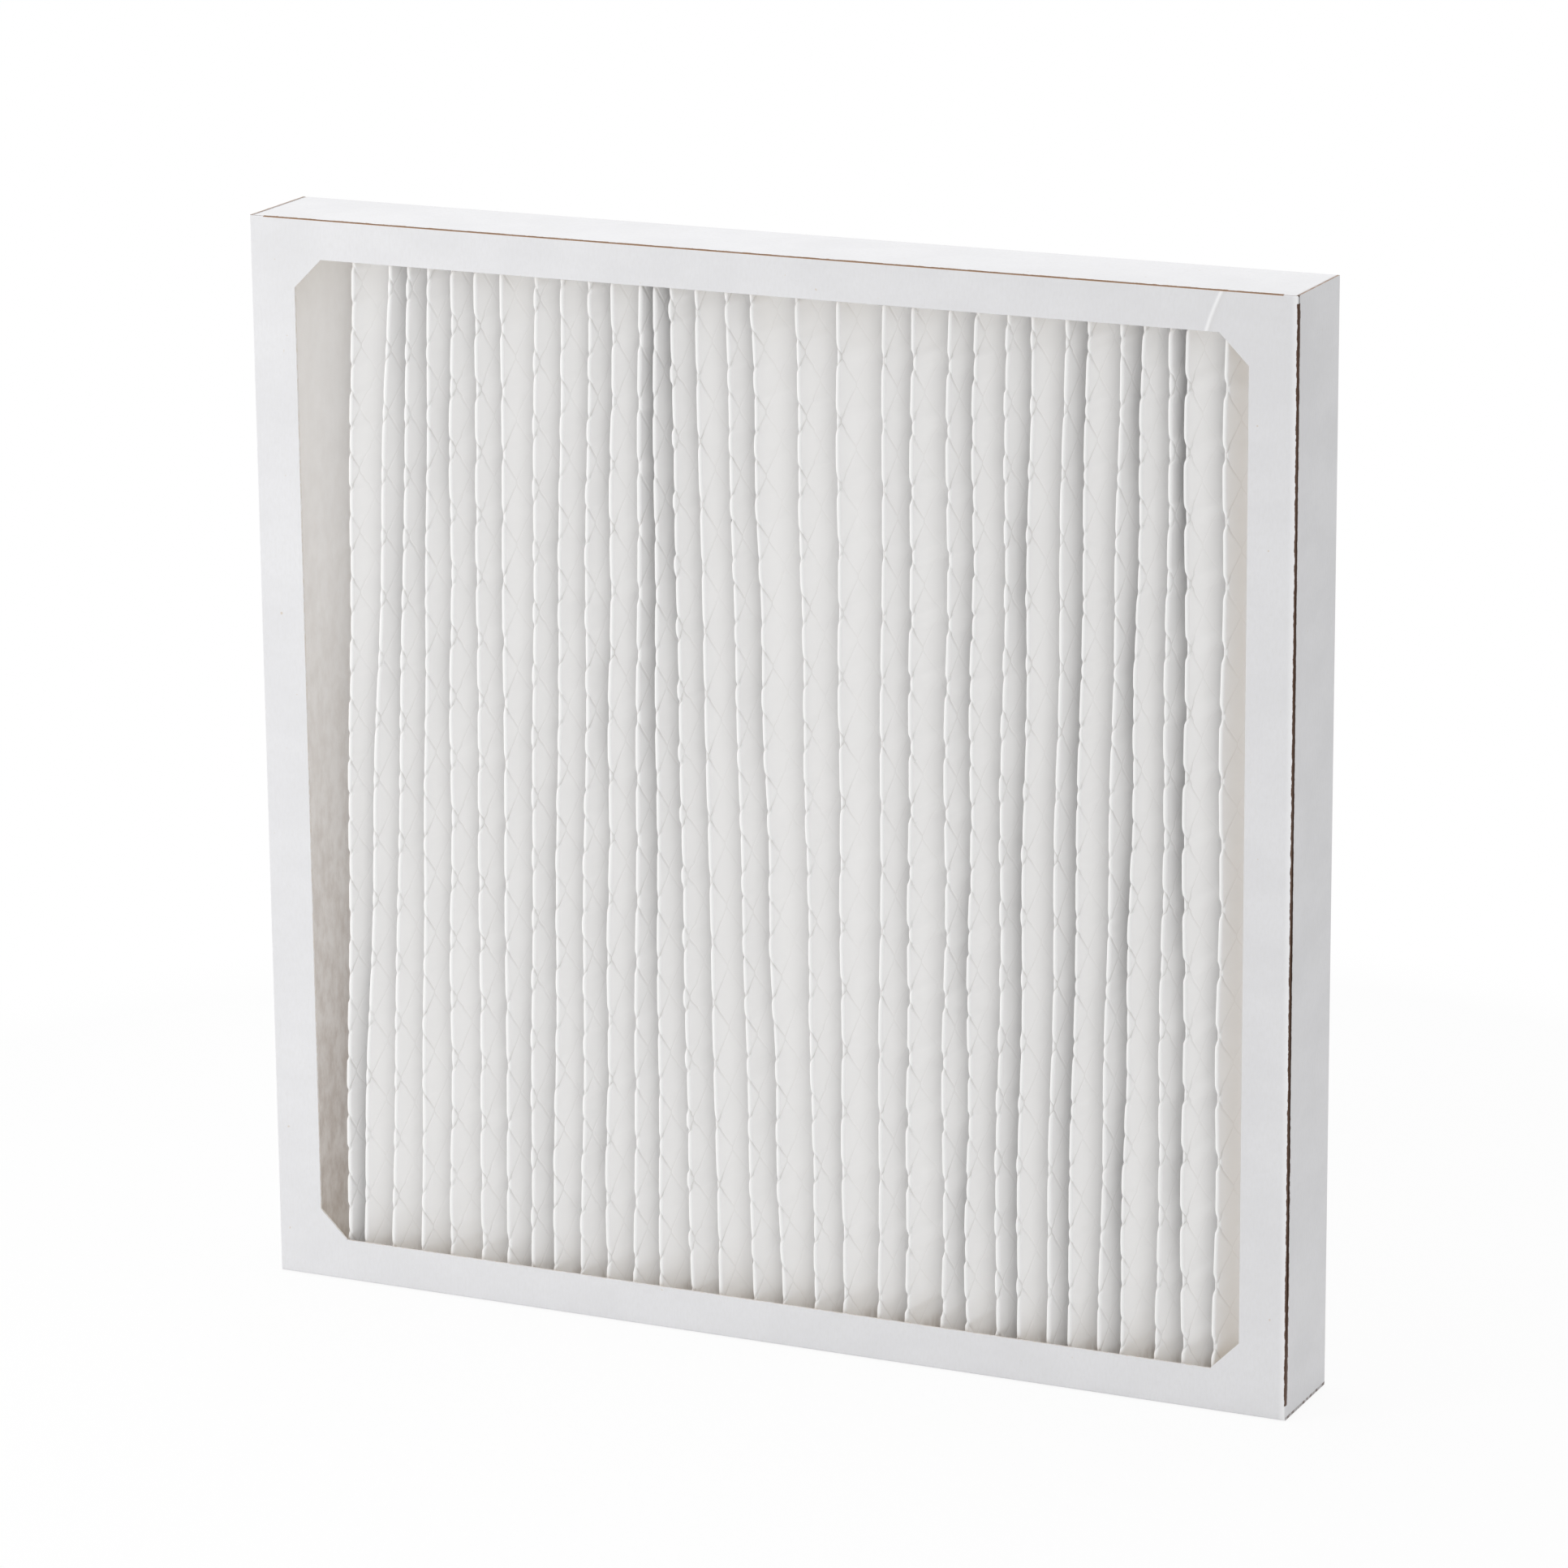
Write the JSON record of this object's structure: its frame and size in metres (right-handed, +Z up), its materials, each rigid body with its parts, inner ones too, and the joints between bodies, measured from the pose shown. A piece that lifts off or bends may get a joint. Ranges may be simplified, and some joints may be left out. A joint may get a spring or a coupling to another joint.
{
  "type": "pleated panel air filter",
  "caption": "Pleated panel air filter: white folded nonwoven media on a metal grid, held in a square two-part paperboard frame open front and back.",
  "frame": {"origin": "middle of the bottom edge face on which the filter stands", "axes": "+Z up along the pleats, -Y out of the air-entering front, +X to the right seen from the front"},
  "size_m": [0.4444, 0.0444, 0.4445],
  "materials": {
    "frame_board": "matt white clay-coated paperboard, brown where cut",
    "filter_media": "soft white nonwoven, slightly fuzzy",
    "grid_metal": "thin galvanised expanded metal, dull",
    "adhesive": "off-white hot-melt, satin"
  },
  "bodies": {
    "root": {"front_frame": "frame_board", "rear_frame": "frame_board", "pleated_media": "filter_media", "support_grid": "grid_metal", "edge_adhesive": "adhesive"}
  },
  "joints": []
}
